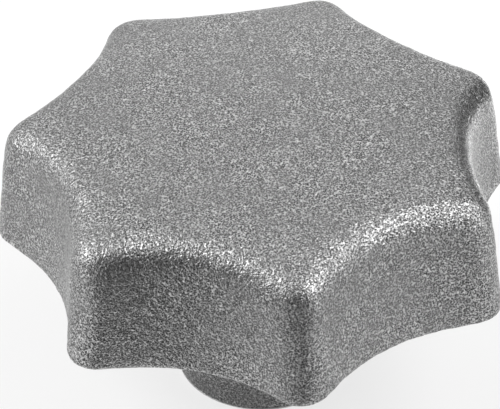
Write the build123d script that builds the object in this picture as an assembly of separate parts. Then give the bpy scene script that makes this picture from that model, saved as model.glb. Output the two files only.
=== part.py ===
from build123d import *
from math import asin, cos, degrees, radians, sin, sqrt, tan
import os

# Star grip for hand-tightening a bolt: seven lobes and a hub, cast in one
# piece of grey iron, with a blind tapped hole in the hub.
# Millimetres, +Z up along the axis of the thread. The origin is the centre of
# the hub's end face, and one lobe points along -Y.

# --- star ---------------------------------------------------------------
lobe_count = 7
star_diameter = 63.0      # over the lobes, at the underside
scallop_depth = 2.85      # below the straight line that touches the rounds of two lobes
star_height = 19.5        # underside to the crest of the crown
crown_rise = 4.65         # the crown's height above its rim, were it as wide as the star
draft_angle = 4.3         # the scallops open upwards, so that the casting leaves its mould
lobe_round = 3.65         # round down each lobe's upright edge, the same all the way
crown_round = 3.55        # round where the scallops and lobes meet the crown, smaller than lobe_round
foot_chamfer = 0.5        # along the star's lower edge

# --- hub ----------------------------------------------------------------
hub_diameter = 20.8       # at its end face
hub_height = 18.9         # end face to the star's underside
hub_draft_angle = 1.0
hub_root_round = 2.0
hub_end_chamfer = 0.7

# --- tapped hole, M12 x 1.75 --------------------------------------------
thread_diameter = 12.0
tap_drill_diameter = 10.2
hole_depth = 25.0         # end face to the end of the drilled wall
drill_point_angle = 118.0
mouth_clearance = 0.5     # the countersink's rim stands this far outside the thread, all round

same_place = 0.01         # points closer together than this count as one, when edges are picked


def lobe_centre_at_foot():
    """Distance from the axis to the centre of a lobe's round, at the underside."""
    return star_diameter / 2 - lobe_round


def scallop_arc():
    """Radius of a scallop at the underside, and the distance of its centre from the axis.

    The arc is tangent to the rounds of the lobes on both sides of it."""
    half_pitch = radians(180 / lobe_count)
    half_gap = lobe_centre_at_foot() * sin(half_pitch)
    radius = (half_gap**2 + scallop_depth**2) / (2 * scallop_depth) - lobe_round
    valley = lobe_centre_at_foot() * cos(half_pitch) + lobe_round - scallop_depth
    return radius, valley + radius


def star_section(height):
    """Plan of the star at a height over its underside, before its horizontal edges are rounded.

    The draft widens each scallop about its own centre, so the lobes lean inwards."""
    scallop_radius, scallop_centre = scallop_arc()
    scallop_radius += height * tan(radians(draft_angle))
    pitch = 360 / lobe_count
    half_pitch = radians(pitch / 2)
    across = scallop_centre * sin(half_pitch)
    reach = scallop_radius + lobe_round
    lobe_centre = scallop_centre * cos(half_pitch) - sqrt(reach**2 - across**2)
    touch_angle = degrees(asin(across / reach))
    with BuildSketch() as section:
        with BuildLine():
            for lobe in range(lobe_count):
                turn = lobe * pitch - 90
                centre = Vector(lobe_centre, 0).rotate(Axis.Z, turn)
                CenterArc(centre, lobe_round, turn - touch_angle, 2 * touch_angle)
                scallop = Vector(scallop_centre, 0).rotate(Axis.Z, turn + pitch / 2)
                half_arc = touch_angle - pitch / 2
                CenterArc(scallop, scallop_radius, turn + pitch / 2 + 180 + half_arc, -2 * half_arc)
        make_face()
    return Pos(0, 0, height) * section.sketch


def tapered_star():
    """The star with flat ends and sharp rims, its lobes' upright edges round."""
    return loft([star_section(0), star_section(star_height)], ruled=True)


def crown_ball():
    """The ball whose cap is the crown; its poles lie along Y, well clear of the cap."""
    rim = star_diameter / 2
    ball_radius = (rim**2 + crown_rise**2) / (2 * crown_rise)
    return Pos(0, 0, star_height - ball_radius) * Rot(90, 0, 0) * Sphere(ball_radius)


def star_body():
    """The star, standing on its underside at z = 0."""
    star = tapered_star() & crown_ball()
    halfway = star_height / 2
    rim = [e for e in star.edges() if e.bounding_box().min.Z > halfway]
    star = fillet(rim, crown_round)
    foot = [e for e in star.edges() if e.bounding_box().max.Z < halfway]
    return chamfer(foot, foot_chamfer)


def hub_body():
    """The hub, from its end face at z = 0 up to the star's underside."""
    end_radius = hub_diameter / 2
    root_radius = end_radius + hub_height * tan(radians(hub_draft_angle))
    hub = Cone(end_radius, root_radius, hub_height, align=(Align.CENTER, Align.CENTER, Align.MIN))
    end_edge = hub.edges().sort_by(Axis.Z)[0]
    return chamfer(end_edge, hub_end_chamfer)


def tapped_hole():
    """The blind hole as one turned shape: countersink, tap-drill wall, drill point."""
    wall = tap_drill_diameter / 2
    mouth = thread_diameter / 2 + mouth_clearance
    point = wall / tan(radians(drill_point_angle / 2))
    outline = Polyline(
        (0, 0), (mouth, 0), (wall, mouth - wall), (wall, hole_depth), (0, hole_depth + point), (0, 0)
    )
    return revolve(Plane.XZ * make_face(outline), Axis.Z)


def knob_body():
    """The whole casting, with its hole."""
    knob = Pos(0, 0, hub_height) * star_body() + hub_body()
    root = Vector(0, 0, hub_height)
    circles = knob.edges().filter_by(GeomType.CIRCLE)
    roots = [e for e in circles if (e.arc_center - root).length < same_place]
    return fillet(roots, hub_root_round) - tapped_hole()


os.makedirs("parts", exist_ok=True)
export_step(knob_body(), "parts/knob_body.step")
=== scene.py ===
import math

import bmesh
import bpy
from bpy.props import FloatProperty, FloatVectorProperty, IntProperty, PointerProperty
from mathutils import Matrix, Vector


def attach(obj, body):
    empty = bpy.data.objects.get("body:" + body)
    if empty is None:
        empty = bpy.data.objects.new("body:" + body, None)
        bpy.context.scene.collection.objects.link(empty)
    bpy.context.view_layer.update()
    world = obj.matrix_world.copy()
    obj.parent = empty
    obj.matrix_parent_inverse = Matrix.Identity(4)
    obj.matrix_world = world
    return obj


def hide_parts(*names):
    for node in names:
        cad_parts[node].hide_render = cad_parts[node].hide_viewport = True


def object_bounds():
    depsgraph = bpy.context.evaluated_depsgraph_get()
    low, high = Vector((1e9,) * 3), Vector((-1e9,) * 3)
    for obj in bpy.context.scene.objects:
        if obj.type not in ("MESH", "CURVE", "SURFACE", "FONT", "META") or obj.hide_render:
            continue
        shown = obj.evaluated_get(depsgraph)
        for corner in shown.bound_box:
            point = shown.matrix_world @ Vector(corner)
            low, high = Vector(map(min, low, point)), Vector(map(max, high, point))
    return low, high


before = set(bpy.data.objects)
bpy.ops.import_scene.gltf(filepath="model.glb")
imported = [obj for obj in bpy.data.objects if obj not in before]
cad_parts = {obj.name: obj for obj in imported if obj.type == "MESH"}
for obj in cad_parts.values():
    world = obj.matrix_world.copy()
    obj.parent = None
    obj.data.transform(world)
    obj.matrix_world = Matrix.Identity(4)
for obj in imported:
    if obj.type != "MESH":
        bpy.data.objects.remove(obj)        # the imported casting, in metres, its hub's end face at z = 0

CAD_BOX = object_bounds()
NODE = "knob_body"
MM = 0.001                    # a millimetre, in metres
SAME_POINT = 0.001 * MM       # points closer together than this become one

bl_info = {
    "name": "Star Grip",
    "version": (1, 0, 0),
    "blender": (4, 5, 0),
    "location": "3D View > Sidebar > Star Grip",
    "description": "Dresses a cast iron star grip with its rough skin, its thread and a plain studio",
    "category": "Object",
}


# --- sizes and colours ----------------------------------------------------

class CastingSettings(bpy.types.PropertyGroup):
    """The rough skin that the sand mould and the tumbling barrel leave on the iron."""

    skin_grid: FloatProperty(
        name="Skin grid", description="Spacing of the skin's points",
        default=0.354 * MM, min=0.2 * MM, unit="LENGTH", precision=5)
    soft_steps: IntProperty(
        name="Soft steps",
        description="How often the tumbled crown's points are levelled with their neighbours",
        default=18, min=0)
    soft_height: FloatProperty(
        name="Soft height", description="The crown is softened above this",
        default=29 * MM, min=0, unit="LENGTH", precision=5)
    lump_depth: FloatProperty(
        name="Lump depth", description="How far the broad unevenness of the skin goes in",
        default=0.07 * MM, min=0, unit="LENGTH", precision=5)
    lump_size: FloatProperty(
        name="Lump size", description="Width of one broad lump of the skin",
        default=4.5 * MM, min=1 * MM, unit="LENGTH", precision=5)
    pit_depth: FloatProperty(
        name="Pit depth", description="How far the sand's grains went into the skin",
        default=0.035 * MM, min=0, unit="LENGTH", precision=5)
    pit_size: FloatProperty(
        name="Pit size", description="Width of one sand grain's dent",
        default=1.1 * MM, min=0.3 * MM, unit="LENGTH", precision=5)
    grain_size: FloatProperty(
        name="Grain size", description="Width of one peened grain of the skin",
        default=0.18 * MM, min=0.1 * MM, unit="LENGTH", precision=5)
    grain_depth: FloatProperty(
        name="Grain depth", description="Height of the peened grain",
        default=0.055 * MM, min=0, unit="LENGTH", precision=5)
    # painted shade: below this height the hub and the underside, under the star, are darkened in colour
    painted_shade_height: FloatProperty(
        name="Painted shade height", description="The hub and the underside keep a darker skin below this",
        default=18.9 * MM, min=0, unit="LENGTH", precision=5)
    # how much of the iron's colour the painted shade leaves on the hub and the underside
    painted_shade_share: FloatProperty(
        name="Painted shade share", description="How bright that skin is beside the rest",
        default=0.5, min=0, max=1, subtype="FACTOR")
    iron: FloatVectorProperty(
        name="Iron", description="Colour of the tumbled iron",
        default=(0.28, 0.28, 0.28), min=0, max=1, subtype="COLOR")
    roughness: FloatProperty(
        name="Roughness", description="Roughness of the tumbled iron",
        default=0.33, min=0, max=1, subtype="FACTOR")


class ThreadSettings(bpy.types.PropertyGroup):
    """The turned end of the hub and its M12 x 1.75 thread."""

    pitch: FloatProperty(
        name="Pitch", description="Rise of the thread in one turn",
        default=1.75 * MM, min=0.5 * MM, unit="LENGTH", precision=5)
    root_radius: FloatProperty(
        name="Root radius", description="Axis to the bottom of the thread's groove",
        default=6.0 * MM, min=2 * MM, unit="LENGTH", precision=5)
    wall_radius: FloatProperty(
        name="Wall radius", description="Axis to the drilled wall between the grooves",
        default=5.1 * MM, min=2 * MM, unit="LENGTH", precision=5)
    thread_depth: FloatProperty(
        name="Thread depth", description="Hub's end face to the last full turn",
        default=21.5 * MM, min=5 * MM, unit="LENGTH", precision=4)
    wall_depth: FloatProperty(
        name="Wall depth", description="Hub's end face to the end of the drilled wall",
        default=25.0 * MM, min=5 * MM, unit="LENGTH", precision=4)
    point_angle: FloatProperty(
        name="Point angle", description="Angle between the two sides of the drill's point",
        default=math.radians(118), subtype="ANGLE")
    mouth_radius: FloatProperty(
        name="Mouth radius", description="Axis to the countersink's rim",
        default=6.5 * MM, min=2 * MM, unit="LENGTH", precision=5)
    end_radius: FloatProperty(
        name="End radius", description="Axis to the side of the hub at its end",
        default=10.4 * MM, min=5 * MM, unit="LENGTH", precision=5)
    end_chamfer: FloatProperty(
        name="End chamfer", description="Width of the chamfer round the hub's end face",
        default=0.7 * MM, min=0, unit="LENGTH", precision=5)


class StudioSettings(bpy.types.PropertyGroup):
    """The camera, the room, the floor and the cards."""

    azimuth: FloatProperty(
        name="Azimuth", description="Turn of the camera about the grip, from the front",
        default=math.radians(-8.376), subtype="ANGLE")
    elevation: FloatProperty(
        name="Elevation", description="Height of the camera above the horizon",
        default=math.radians(37.956), subtype="ANGLE")
    roll: FloatProperty(
        name="Roll", description="Tilt of the camera about its own line of sight",
        default=math.radians(1.498), subtype="ANGLE")
    distance: FloatProperty(
        name="Distance", description="Camera to the grip",
        default=386.79 * MM, min=0.1, unit="LENGTH", precision=5)
    aim: FloatVectorProperty(
        name="Aim", description="Point of the grip that the camera circles",
        default=(0, 0, 28.98 * MM), unit="LENGTH", precision=5)
    slide: FloatVectorProperty(
        name="Slide", description="Move of the camera to its right and up, without turning it",
        size=2, default=(-1.089 * MM, -4.035 * MM), unit="LENGTH", precision=5)
    lens: FloatProperty(
        name="Lens", description="Focal length on a 36 mm wide sensor, in millimetres",
        default=237.3, min=20)
    room: FloatProperty(
        name="Room", description="Brightness of the room round the grip",
        default=0.15, min=0)
    floor: FloatProperty(
        name="Floor", description="Grey of the floor",
        default=0.88, min=0, max=1, subtype="FACTOR")
    whiteness: FloatProperty(
        name="Whiteness", description="How much of the floor's shading gives way to plain white",
        default=0.7, min=0, max=1, subtype="FACTOR")
    floor_size: FloatProperty(
        name="Floor size", description="Width of the round floor",
        default=6.0, min=1, unit="LENGTH", precision=2)
    card_grey: FloatProperty(
        name="Card grey", description="Grey of the dark cards",
        default=0.09, min=0, max=1, subtype="FACTOR")


def settings():
    """The three groups of settings, as the scene holds them."""
    scene = bpy.context.scene
    return scene.grip_casting, scene.grip_thread, scene.grip_studio


# --- small helpers ----------------------------------------------------------

def add_object(name, data):
    """Links a new object that holds data to the scene."""
    made = bpy.data.objects.new(name, data)
    bpy.context.scene.collection.objects.link(made)
    return made


class Tree:
    """Builds a node tree with few words: node() adds, math(), vector() and ramp() calculate."""

    def __init__(self, tree):
        self.tree = tree

    def node(self, kind, values=(), **options):
        """A node of that kind. options are its own settings, values its sockets by name or number."""
        made = self.tree.nodes.new(kind)
        for name, value in options.items():
            setattr(made, name, value)
        for name, value in dict(values).items():
            self.put(made.inputs[name], value)
        return made

    def put(self, socket, value):
        """Links a socket to value, or sets its constant."""
        if isinstance(value, bpy.types.NodeSocket):
            self.tree.links.new(value, socket)
        elif value is not None:
            socket.default_value = value

    def math(self, operation, a, b=None):
        """One Math node's result."""
        made = self.tree.nodes.new("ShaderNodeMath")
        made.operation = operation
        for socket, value in zip(made.inputs, (a, b)):
            self.put(socket, value)
        return made.outputs[0]

    def vector(self, operation, a, b=None):
        """One Vector Math node's result, which is a number for a length."""
        made = self.tree.nodes.new("ShaderNodeVectorMath")
        made.operation = operation
        self.put(made.inputs[0], a)
        self.put(made.inputs["Scale" if operation == "SCALE" else 1], b)
        return made.outputs["Value" if operation == "LENGTH" else "Vector"]

    def ramp(self, value, low, high, to_low=0.0, to_high=1.0, smooth=True):
        """value taken from low..high to to_low..to_high, and held at the ends."""
        made = self.node("ShaderNodeMapRange", clamp=True,
                         interpolation_type="SMOOTHSTEP" if smooth else "LINEAR")
        for socket, number in zip(made.inputs, (value, low, high, to_low, to_high)):
            self.put(socket, number)
        return made.outputs[0]

    def noise(self, vector, scale, detail, roughness=0.5):
        """A Noise Texture's value."""
        made = self.node("ShaderNodeTexNoise", {
            "Vector": vector, "Scale": scale, "Detail": detail, "Roughness": roughness})
        return made.outputs[0]


def geometry_tree(name, inputs):
    """A Geometry Nodes tree with a Geometry input and output and the named inputs.

    Returns the tree's builder and its input node's sockets by name."""
    tree = bpy.data.node_groups.new(name, "GeometryNodeTree")
    tree.interface.new_socket("Geometry", in_out="INPUT", socket_type="NodeSocketGeometry")
    tree.interface.new_socket("Geometry", in_out="OUTPUT", socket_type="NodeSocketGeometry")
    for label, kind in inputs.items():
        tree.interface.new_socket(label, in_out="INPUT", socket_type="NodeSocket" + kind)
    build = Tree(tree)
    return build, build.node("NodeGroupInput").outputs


def end_geometry_tree(build, geometry, material):
    """Ends a tree in Realize Instances and Set Material."""
    real = build.node("GeometryNodeRealizeInstances", {"Geometry": geometry})
    painted = build.node("GeometryNodeSetMaterial",
                         {"Geometry": real.outputs["Geometry"], "Material": material})
    out = build.node("NodeGroupOutput")
    build.put(out.inputs["Geometry"], painted.outputs["Geometry"])


def add_geometry_nodes(made, tree, values):
    """Puts the tree on an object as a modifier, its inputs set by their sockets' identifiers."""
    modifier = made.modifiers.new(tree.name, "NODES")
    modifier.node_group = tree
    for item in tree.interface.items_tree:
        if item.in_out == "INPUT" and item.name in values:
            modifier[item.identifier] = values[item.name]


def as_plain_mesh(made):
    """Replaces an object's mesh by what its modifiers make of it, and removes them."""
    graph = bpy.context.evaluated_depsgraph_get()
    result = bpy.data.meshes.new_from_object(made.evaluated_get(graph), depsgraph=graph)
    made.modifiers.clear()
    old, made.data = made.data, result
    bpy.data.meshes.remove(old)
    result.name = made.name
    solid = bmesh.new()
    solid.from_mesh(result)
    bmesh.ops.remove_doubles(solid, verts=solid.verts, dist=SAME_POINT)
    bmesh.ops.recalc_face_normals(solid, faces=solid.faces)
    solid.to_mesh(result)
    solid.free()
    result.polygons.foreach_set("use_smooth", [True] * len(result.polygons))


# --- the casting ------------------------------------------------------------

SOFT_FADE = 3 * MM            # the softening sets in over this height
HOLE_ROOM = 0.3 * MM          # the casting's hole is this far outside the thread's groove
TUCK = 0.12 * MM              # the skin draws back this far behind the hub's turned end
TUCK_LIP = 0.05 * MM          # and comes out again this far above the end's chamfer


def skin_tree():
    """Softens a casting's crown, then moves its points inwards by lumps and by sand pits."""
    inputs = {"Soft Steps": "Int", "Soft Height": "Float", "Lump Depth": "Float",
              "Lump Size": "Float", "Pit Depth": "Float", "Pit Size": "Float",
              "End Height": "Float", "Tuck": "Float", "Material": "Material"}
    build, given = geometry_tree("cast skin", inputs)
    place = build.node("GeometryNodeInputPosition").outputs[0]
    facing = build.node("GeometryNodeInputNormal").outputs[0]
    height = build.node("ShaderNodeSeparateXYZ", {"Vector": place}).outputs["Z"]

    def dents(size, depth, shallow, deep, shift):
        """Dents as deep as given where a noise, moved by shift, goes from shallow to deep."""
        scaled = build.vector("SCALE", place, build.math("DIVIDE", 1.0, size))
        value = build.noise(build.vector("ADD", scaled, (shift, shift, shift)), 1.0, 1.0)
        return build.math("MULTIPLY", build.ramp(value, shallow, deep), depth)

    lumps = dents(given["Lump Size"], given["Lump Depth"], 0.3, 0.7, 3.7)
    pits = dents(given["Pit Size"], given["Pit Depth"], 0.35, 0.7, 9.1)
    # behind the turned end the skin is tucked in, so that the turned end shows
    low = build.math("MULTIPLY", given["End Height"], 0.6)
    tuck = build.ramp(height, low, given["End Height"], given["Tuck"], 0.0)
    inwards = build.math("ADD", build.math("ADD", lumps, pits), tuck)
    offset = build.vector("SCALE", facing, build.math("MULTIPLY", inwards, -1.0))
    soft_full = build.math("ADD", given["Soft Height"], SOFT_FADE)
    levelled = build.node("GeometryNodeBlurAttribute", {
        "Value": place, "Iterations": given["Soft Steps"],
        "Weight": build.ramp(height, given["Soft Height"], soft_full)}, data_type="FLOAT_VECTOR")
    softened = build.node("GeometryNodeSetPosition", {
        "Geometry": given["Geometry"], "Position": levelled.outputs["Value"]})
    moved = build.node("GeometryNodeSetPosition", {
        "Geometry": softened.outputs["Geometry"], "Offset": offset})
    end_geometry_tree(build, moved.outputs["Geometry"], given["Material"])
    return build.tree


def cast_body(thread):
    """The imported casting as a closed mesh, its hole wide enough for the tapped sleeve."""
    inner_edge = 1 * MM                               # the drill point's tip stays as it is
    outer_edge = thread.mouth_radius + 0.01 * MM      # just past the countersink's rim
    top = thread.wall_depth + 0.1 * MM                # just past the end of the drilled wall
    mesh = bpy.data.meshes.new("casting")
    solid = bmesh.new()
    solid.from_mesh(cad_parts[NODE].data)
    bmesh.ops.remove_doubles(solid, verts=solid.verts, dist=SAME_POINT)
    for vert in solid.verts:
        radius = vert.co.xy.length
        if inner_edge < radius < outer_edge and vert.co.z < top:
            vert.co.xy *= (thread.root_radius + HOLE_ROOM) / radius
    solid.to_mesh(mesh)
    solid.free()
    return mesh


class GRIP_OT_casting(bpy.types.Operator):
    """Lays the rough skin over the casting"""

    bl_idname = "grip.casting"
    bl_label = "Casting"

    def execute(self, context):
        casting, thread, _ = settings()
        piece = add_object("casting", cast_body(thread))
        remesh = piece.modifiers.new("skin grid", "REMESH")
        remesh.mode = "VOXEL"
        remesh.voxel_size = casting.skin_grid
        remesh.adaptivity = 0
        add_geometry_nodes(piece, skin_tree(), {
            "Soft Steps": casting.soft_steps, "Soft Height": casting.soft_height,
            "Lump Depth": casting.lump_depth, "Lump Size": casting.lump_size,
            "Pit Depth": casting.pit_depth, "Pit Size": casting.pit_size,
            "End Height": thread.end_chamfer + TUCK_LIP, "Tuck": TUCK,
            "Material": cast_iron()})
        as_plain_mesh(piece)
        # no point of the skin stands outside the casting's box
        for vert in piece.data.vertices:
            vert.co = [min(max(c, low), high) for c, low, high in zip(vert.co, *CAD_BOX)]
        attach(piece, "root")
        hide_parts(NODE)
        return {"FINISHED"}


# --- the iron ---------------------------------------------------------------

PATCH_SIZE = 6 * MM           # width of a patch where the barrel left more grain, or less
PIT_SHADE, WORN_SHADE = -0.75, 1.35       # change of brightness in pits and on worn spots
PIT_DULL, WORN_DULL = 1.25, 0.85          # share of the roughness in pits and on worn spots
PATCH_SWING = (0.75, 1.25)    # how strong the grain is in a weak and in a strong patch
PATCH_SHADE = (0.96, 1.04)    # how bright a dark and a bright patch is


def iron_grain():
    """The node group for the grain of iron: heights for a bump, and wear and patches for colour."""
    name = "iron grain"
    if name in bpy.data.node_groups:
        return bpy.data.node_groups[name]
    tree = bpy.data.node_groups.new(name, "ShaderNodeTree")
    for label, kind in (("Vector", "Vector"), ("Grain Size", "Float"), ("Patch Size", "Float")):
        tree.interface.new_socket(label, in_out="INPUT", socket_type="NodeSocket" + kind)
    for label in ("Height", "Wear", "Patch"):
        tree.interface.new_socket(label, in_out="OUTPUT", socket_type="NodeSocketFloat")
    build = Tree(tree)
    given = build.node("NodeGroupInput").outputs
    grain = build.vector("SCALE", given["Vector"], build.math("DIVIDE", 1.0, given["Grain Size"]))
    patch = build.vector("SCALE", given["Vector"], build.math("DIVIDE", 1.0, given["Patch Size"]))
    # dents with bent edges, and finer grains between them
    bend = build.node("ShaderNodeTexNoise", {"Vector": grain, "Scale": 0.7, "Detail": 1.0}).outputs[1]
    dents = build.node("ShaderNodeTexVoronoi", {
        "Vector": build.vector("ADD", grain, bend), "Scale": 0.85}, feature="F1").outputs[0]
    grains = build.noise(grain, 1.0, 2.0, 0.6)
    height = build.math("ADD", build.math("MULTIPLY", build.ramp(dents, 0.15, 0.85, smooth=False), 0.6),
                        build.math("MULTIPLY", build.ramp(grains, 0.25, 0.75, smooth=False), 0.4))
    # wide hollows turn the bump, so that reflections break up at their borders
    hollows = build.noise(build.vector("ADD", grain, (17.0, 31.0, 5.0)), 0.45, 1.0)
    wear = build.math("POWER", build.ramp(height, 0.15, 0.85, smooth=False), 1.6)
    patches = build.noise(patch, 1.0, 3.0, 0.6)
    out = build.node("NodeGroupOutput")
    build.put(out.inputs["Height"], build.math("ADD", height, build.ramp(hollows, 0.25, 0.75)))
    build.put(out.inputs["Wear"], wear)
    build.put(out.inputs["Patch"], build.ramp(patches, 0.3, 0.7))
    return tree


def iron_material(name, colour, roughness, grain_size, grain_depth, contrast, casting=None, rings=None):
    """Metal with the iron grain: its high spots are worn bright and smooth, its pits dark and dull.

    With rings, (spacing, depth), it shows the rings that a lathe's tool leaves about Z."""
    mat = bpy.data.materials.new(name)
    mat.use_nodes = True
    build = Tree(mat.node_tree)
    shader = mat.node_tree.nodes["Principled BSDF"]
    place = build.node("ShaderNodeTexCoord").outputs["Object"]
    grain = build.node("ShaderNodeGroup", node_tree=iron_grain())
    build.put(grain.inputs["Vector"], place)
    build.put(grain.inputs["Grain Size"], grain_size)
    build.put(grain.inputs["Patch Size"], PATCH_SIZE)
    wear, patch = grain.outputs["Wear"], grain.outputs["Patch"]
    pits, worn = PIT_SHADE * contrast, WORN_SHADE * contrast
    swing = build.math("MULTIPLY", build.ramp(wear, 0.0, 1.0, pits, worn, smooth=False),
                       build.ramp(patch, 0.0, 1.0, *PATCH_SWING, smooth=False))
    shade = build.math("MULTIPLY", build.math("ADD", swing, 1.0),
                       build.ramp(patch, 0.0, 1.0, *PATCH_SHADE, smooth=False))
    if casting:
        # painted shade: the hub and the underside, which lie under the star, are darkened in colour below
        # the painted shade height
        height = build.node("ShaderNodeSeparateXYZ", {"Vector": place}).outputs["Z"]
        edge = 0.5 * MM
        shade = build.math("MULTIPLY", shade, build.ramp(
            height, casting.painted_shade_height - edge, casting.painted_shade_height, casting.painted_shade_share, 1.0))
    build.put(shader.inputs["Base Color"], build.vector("SCALE", tuple(colour), shade))
    build.put(shader.inputs["Roughness"], build.ramp(
        wear, 0.0, 1.0, roughness * PIT_DULL, roughness * WORN_DULL, smooth=False))
    shader.inputs["Metallic"].default_value = 1
    bump = build.node("ShaderNodeBump", {
        "Height": grain.outputs["Height"], "Distance": grain_depth, "Strength": 1.0})
    if rings:
        spacing, depth = rings
        radius = build.vector("LENGTH", build.vector("MULTIPLY", place, (1, 1, 0)))
        turned = build.node("ShaderNodeTexNoise", {
            "W": build.math("DIVIDE", radius, spacing), "Scale": 1.0, "Detail": 2.0, "Roughness": 0.6},
            noise_dimensions="1D").outputs[0]
        bump = build.node("ShaderNodeBump", {
            "Height": turned, "Distance": depth, "Strength": 1.0, "Normal": bump.outputs["Normal"]})
    build.put(shader.inputs["Normal"], bump.outputs["Normal"])
    return mat


def cast_iron():
    """Tumbled grey iron, with painted shade on the hub and the underside."""
    casting = settings()[0]
    return iron_material("tumbled cast iron", casting.iron, casting.roughness,
                         casting.grain_size, casting.grain_depth, contrast=1.0, casting=casting)


def cut_iron():
    """Grey iron as the lathe and the tap leave it."""
    return iron_material("cut cast iron", (0.5, 0.5, 0.5), roughness=0.30,
                         grain_size=0.2 * MM, grain_depth=0.004 * MM, contrast=0.15,
                         rings=(0.15 * MM, 0.03 * MM))


# --- the tapped hole --------------------------------------------------------

SIDES = 96                    # of the hole and the turned end, seen along the axis
ROWS_PER_TURN = 18            # of points, in one pitch of the thread
GROOVE_FLAT = 1 / 16          # middle of the groove to the edge of its bottom, in pitches
GROOVE_REACH = 0.36           # middle of the groove to its rim, in pitches
RUN_OUT = 1.5                 # the groove gets shallower over this many pitches
SLEEVE_WALL = 0.4 * MM        # the sleeve goes on behind the groove and sinks into the casting
SLEEVE_BACK = 1 * MM          # and behind the hub's end face and the drill point


def tapped_tree():
    """Turns a profile of points (radius, 0, height) about Z, and cuts the thread into its wall."""
    inputs = {"Around": "Int", "Pitch": "Float", "Root Radius": "Float", "Wall Radius": "Float",
              "Thread Depth": "Float", "Material": "Material"}
    build, given = geometry_tree("turned and tapped", inputs)
    size = build.node("GeometryNodeAttributeDomainSize", {"Geometry": given["Geometry"]})
    rows = size.outputs["Point Count"]
    grid = build.node("GeometryNodeMeshGrid", {
        "Size X": 1.0, "Size Y": 1.0, "Vertices Y": rows,
        "Vertices X": build.math("ADD", given["Around"], 1.0)})
    # across the grid X is a share of a turn, and Y goes along the profile
    across = build.node("ShaderNodeSeparateXYZ", {
        "Vector": build.node("GeometryNodeInputPosition").outputs[0]})
    turn = build.math("ADD", across.outputs["X"], 0.5)
    last = build.math("SUBTRACT", rows, 1.0)
    row = build.math("ROUND", build.math("MULTIPLY", build.math("ADD", across.outputs["Y"], 0.5), last))
    sample = build.node("GeometryNodeSampleIndex", {
        "Geometry": given["Geometry"], "Index": row}, data_type="FLOAT_VECTOR", domain="POINT")
    build.put(sample.inputs["Value"], build.node("GeometryNodeInputPosition").outputs[0])
    profile = build.node("ShaderNodeSeparateXYZ", {"Vector": sample.outputs["Value"]})
    radius, height = profile.outputs["X"], profile.outputs["Z"]
    # how far a point lies from the middle of the groove, in pitches
    phase = build.math("SUBTRACT", build.math("DIVIDE", height, given["Pitch"]), turn)
    fraction = build.math("FRACT", build.math("ADD", phase, 0.5))
    off = build.math("ABSOLUTE", build.math("SUBTRACT", fraction, 0.5))
    groove = build.ramp(off, GROOVE_FLAT, GROOVE_REACH, 1.0, 0.0, smooth=False)
    fading = build.math("MULTIPLY", given["Pitch"], RUN_OUT)
    last_turn = build.math("ADD", given["Thread Depth"], fading)
    run_out = build.ramp(height, given["Thread Depth"], last_turn, 1.0, 0.0, smooth=False)
    depth = build.math("SUBTRACT", given["Root Radius"], given["Wall Radius"])
    cut = build.math("ADD", given["Wall Radius"],
                     build.math("MULTIPLY", build.math("MULTIPLY", groove, run_out), depth))
    # only the wall is cut, and the countersink where the groove runs out into it
    inner = build.math("LESS_THAN", radius, given["Root Radius"])
    nearly_wall = build.math("SUBTRACT", given["Wall Radius"], 0.01 * MM)
    cut_here = build.math("MULTIPLY", inner, build.math("GREATER_THAN", radius, nearly_wall))
    radius = build.math("ADD", radius, build.math("MULTIPLY", cut_here, build.math(
        "SUBTRACT", build.math("MAXIMUM", cut, radius), radius)))
    angle = build.math("MULTIPLY", turn, math.tau)
    place = build.node("ShaderNodeCombineXYZ", {
        "X": build.math("MULTIPLY", radius, build.math("COSINE", angle)),
        "Y": build.math("MULTIPLY", radius, build.math("SINE", angle)), "Z": height})
    moved = build.node("GeometryNodeSetPosition", {
        "Geometry": grid.outputs["Mesh"], "Position": place.outputs[0]})
    closed = build.node("GeometryNodeMergeByDistance", {
        "Geometry": moved.outputs["Geometry"], "Distance": 2 * SAME_POINT})
    end_geometry_tree(build, closed.outputs["Geometry"], given["Material"])
    return build.tree


def sleeve_profile(thread):
    """Points (radius, height) round the section of the turned end and the tapped hole."""
    wall, mouth, end = thread.wall_radius, thread.mouth_radius, thread.end_radius
    chamfer, depth = thread.end_chamfer, thread.wall_depth
    outside = thread.root_radius + SLEEVE_WALL
    point = wall / math.tan(thread.point_angle / 2)
    bevel = SLEEVE_BACK / 2
    corners = [
        (0, depth + point), (wall, depth), (wall, mouth - wall), (mouth, 0), (end - chamfer, 0),
        (end, chamfer), (end - bevel, chamfer + bevel), (outside, chamfer + SLEEVE_BACK),
        (outside, depth + SLEEVE_BACK), (0, depth + point + SLEEVE_BACK)]
    step = thread.pitch / ROWS_PER_TURN
    plain = 4                 # steps along a side that has no thread
    points = [corners[0]]
    for (r0, z0), (r1, z1) in zip(corners, corners[1:]):
        threaded = max(r0, r1) <= mouth and max(z0, z1) <= depth
        count = max(1, round(math.hypot(r1 - r0, z1 - z0) / step)) if threaded else plain
        points += [(r0 + (r1 - r0) * k / count, z0 + (z1 - z0) * k / count)
                   for k in range(1, count + 1)]
    return points


class GRIP_OT_tapped_hole(bpy.types.Operator):
    """Turns the hub's end and taps the hole"""

    bl_idname = "grip.tapped_hole"
    bl_label = "Tapped Hole"

    def execute(self, context):
        thread = settings()[1]
        points = sleeve_profile(thread)
        edges = [(k, k + 1) for k in range(len(points) - 1)]
        mesh = bpy.data.meshes.new("tapped_hole")
        mesh.from_pydata([(r, 0, z) for r, z in points], edges, [])
        piece = add_object("tapped_hole", mesh)
        add_geometry_nodes(piece, tapped_tree(), {
            "Around": SIDES, "Pitch": thread.pitch, "Root Radius": thread.root_radius,
            "Wall Radius": thread.wall_radius, "Thread Depth": thread.thread_depth,
            "Material": cut_iron()})
        as_plain_mesh(piece)
        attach(piece, "root")
        return {"FINISHED"}


# --- the studio -------------------------------------------------------------

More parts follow.
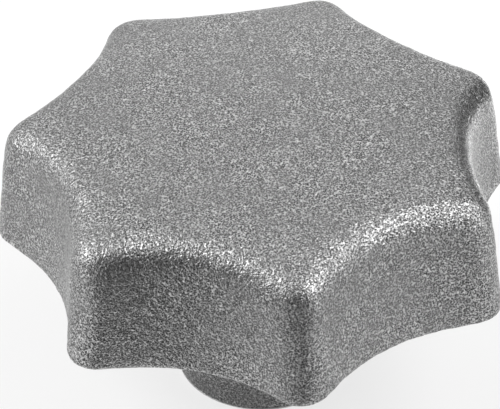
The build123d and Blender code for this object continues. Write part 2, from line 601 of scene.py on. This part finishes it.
LAMPS = (
    # name, azimuth and elevation as seen from the grip, distance, width, height in m, power in W
    ("left softbox", 183, 42, 0.8, 0.58, 0.76, 5.5),
    ("back left softbox", 137, 28, 0.8, 0.46, 0.52, 1.1),
    ("right softbox", -28, 38, 0.8, 0.52, 0.80, 4.6),
    ("top softbox", 6, 63, 0.8, 0.38, 0.34, 1.1),
    ("back panel", 80, 30, 0.9, 0.85, 0.80, 2.5),
    ("low panel", 42, -21, 0.075, 0.042, 0.022, 0.0065),
)


def add_lamp(name, azimuth, elevation, away, width, height, power):
    """A rectangular softbox that points at the grip."""
    data = bpy.data.lights.new(name, "AREA")
    data.shape = "RECTANGLE"
    data.size, data.size_y, data.energy = width, height, power
    lamp = add_object(name, data)
    turn, rise = math.radians(azimuth), math.radians(elevation)
    way = Vector((math.cos(turn) * math.cos(rise), math.sin(turn) * math.cos(rise), math.sin(rise)))
    lamp.location = Vector((0, 0, CAD_BOX[1][2])) + way * away
    lamp.rotation_euler = way.to_track_quat("Z", "Y").to_euler()
    lamp.visible_camera = False


def flat_material(name, grey):
    """A plain matt finish for the studio's own things."""
    mat = bpy.data.materials.new(name)
    mat.use_nodes = True
    shader = mat.node_tree.nodes["Principled BSDF"]
    shader.inputs["Base Color"].default_value = (grey, grey, grey, 1)
    shader.inputs["Roughness"].default_value = 1
    shader.inputs["Specular IOR Level"].default_value = 0
    return mat


def floor_material(studio):
    """A pale matt floor that looks nearly white, in the metal too, and keeps some of the shadow."""
    mat = flat_material("pale floor", studio.floor)
    build = Tree(mat.node_tree)
    shader = mat.node_tree.nodes["Principled BSDF"]
    path = build.node("ShaderNodeLightPath").outputs
    seen = build.math("MAXIMUM", build.math("MAXIMUM", path["Is Camera Ray"], path["Is Glossy Ray"]),
                      path["Is Transmission Ray"])
    white = build.node("ShaderNodeEmission", {"Color": (1, 1, 1, 1), "Strength": 1.0})
    mixed = build.node("ShaderNodeMixShader", {0: build.math("MULTIPLY", seen, studio.whiteness)})
    build.put(mixed.inputs[1], shader.outputs["BSDF"])
    build.put(mixed.inputs[2], white.outputs["Emission"])
    build.put(mat.node_tree.nodes["Material Output"].inputs["Surface"], mixed.outputs["Shader"])
    return mat


def add_floor(studio):
    """The pale round floor, level with the hub's end face, with a rim that curves up."""
    reach, sides = studio.floor_size / 2, 64
    lip = 0.09 * reach
    rings = [(reach - lip, 0), (reach - 0.3 * lip, 0.1 * lip), (reach, 0.5 * lip), (reach, lip)]
    turns = [math.tau * k / sides for k in range(sides)]
    points = [(0, 0, 0)]
    for radius, height in rings:
        points += [(radius * math.cos(turn), radius * math.sin(turn), height) for turn in turns]
    faces = [(0, 1 + k, 1 + (k + 1) % sides) for k in range(sides)]
    for ring in range(len(rings) - 1):
        first, second = 1 + ring * sides, 1 + (ring + 1) * sides
        faces += [(first + k, second + k, second + (k + 1) % sides, first + (k + 1) % sides)
                  for k in range(sides)]
    mesh = bpy.data.meshes.new("floor")
    mesh.from_pydata(points, [], faces)
    mesh.materials.append(floor_material(studio))
    add_object("floor", mesh)


CARDS = (
    # name, azimuth, left and right edge in m, and the profile: distance and height in m of each bend
    ("front card", -90, -0.015, 0.022, ((0.050, 0.0005), (0.078, 0.0005), (0.078, 0.060))),
    ("left card", -90, -0.036, -0.015, ((0.0455, 0.0005), (0.0455, 0.040))),
    ("right card", 24, -0.016, 0.014, ((0.064, 0.016), (0.064, 0.037))),
    ("low card", -48, -0.012, 0.012, ((0.058, 0.0005), (0.082, 0.0005))),
)


def add_card(name, azimuth, left, right, profile, grey):
    """A dark card near the grip, which only the metal sees. It is bent along its profile."""
    points = [(side, -out, up) for out, up in profile for side in (left, right)]
    faces = [(n, n + 2, n + 3, n + 1) for n in range(0, len(points) - 2, 2)]
    mesh = bpy.data.meshes.new(name)
    mesh.from_pydata(points, [], faces)
    mesh.transform(Matrix.Rotation(math.radians(azimuth + 90), 4, "Z"))
    mesh.materials.append(flat_material("dark card", grey))
    card = add_object(name, mesh)
    card.visible_camera = False
    card.visible_diffuse = False
    card.visible_shadow = False


def add_camera(studio):
    """The camera, which looks at the grip from the front and above."""
    lens = bpy.data.cameras.new("camera")
    lens.lens = studio.lens
    lens.clip_start, lens.clip_end = 0.01, 10         # in metres
    camera = add_object("camera", lens)
    turn, rise, roll = studio.azimuth, studio.elevation, studio.roll
    flat = math.cos(rise)
    back = Vector((math.sin(turn) * flat, -math.cos(turn) * flat, math.sin(rise)))
    right = Vector((math.cos(turn), math.sin(turn), 0))
    up = back.cross(right)
    right, up = (right * math.cos(roll) - up * math.sin(roll),
                 right * math.sin(roll) + up * math.cos(roll))
    place = Vector(studio.aim) + back * studio.distance
    place += right * studio.slide[0] + up * studio.slide[1]
    axes = Matrix((right, up, back)).transposed().to_4x4()
    camera.matrix_world = Matrix.Translation(place) @ axes
    bpy.context.scene.camera = camera


class GRIP_OT_studio(bpy.types.Operator):
    """Sets up the room, the floor, the lamps, the cards and the camera"""

    bl_idname = "grip.studio"
    bl_label = "Studio"

    def execute(self, context):
        studio = settings()[2]
        scene = context.scene
        scene.view_settings.view_transform = "Standard"
        world = bpy.data.worlds.new("studio")
        scene.world = world
        world.use_nodes = True
        background = world.node_tree.nodes["Background"]
        background.inputs["Color"].default_value = (studio.room, studio.room, studio.room, 1)
        add_floor(studio)
        for lamp in LAMPS:
            add_lamp(*lamp)
        for card in CARDS:
            add_card(*card, studio.card_grey)
        add_camera(studio)
        return {"FINISHED"}


# --- the add-on -------------------------------------------------------------

class GRIP_PT_panel(bpy.types.Panel):
    """Lists the steps in the sidebar"""

    bl_idname = "GRIP_PT_panel"
    bl_label = "Star Grip"
    bl_space_type = "VIEW_3D"
    bl_region_type = "UI"
    bl_category = "Star Grip"

    def draw(self, context):
        for step in STEPS:
            self.layout.operator(step.bl_idname)


STEPS = (GRIP_OT_casting, GRIP_OT_tapped_hole, GRIP_OT_studio)
CLASSES = (CastingSettings, ThreadSettings, StudioSettings, *STEPS, GRIP_PT_panel)


def register():
    for made in CLASSES:
        bpy.utils.register_class(made)
    bpy.types.Scene.grip_casting = PointerProperty(type=CastingSettings)
    bpy.types.Scene.grip_thread = PointerProperty(type=ThreadSettings)
    bpy.types.Scene.grip_studio = PointerProperty(type=StudioSettings)


def unregister():
    del bpy.types.Scene.grip_studio, bpy.types.Scene.grip_thread, bpy.types.Scene.grip_casting
    for made in reversed(CLASSES):
        bpy.utils.unregister_class(made)


def main():
    """Makes every piece and the studio in order."""
    register()
    bpy.ops.grip.casting()
    bpy.ops.grip.tapped_hole()
    bpy.ops.grip.studio()


if __name__ == "__main__":
    main()
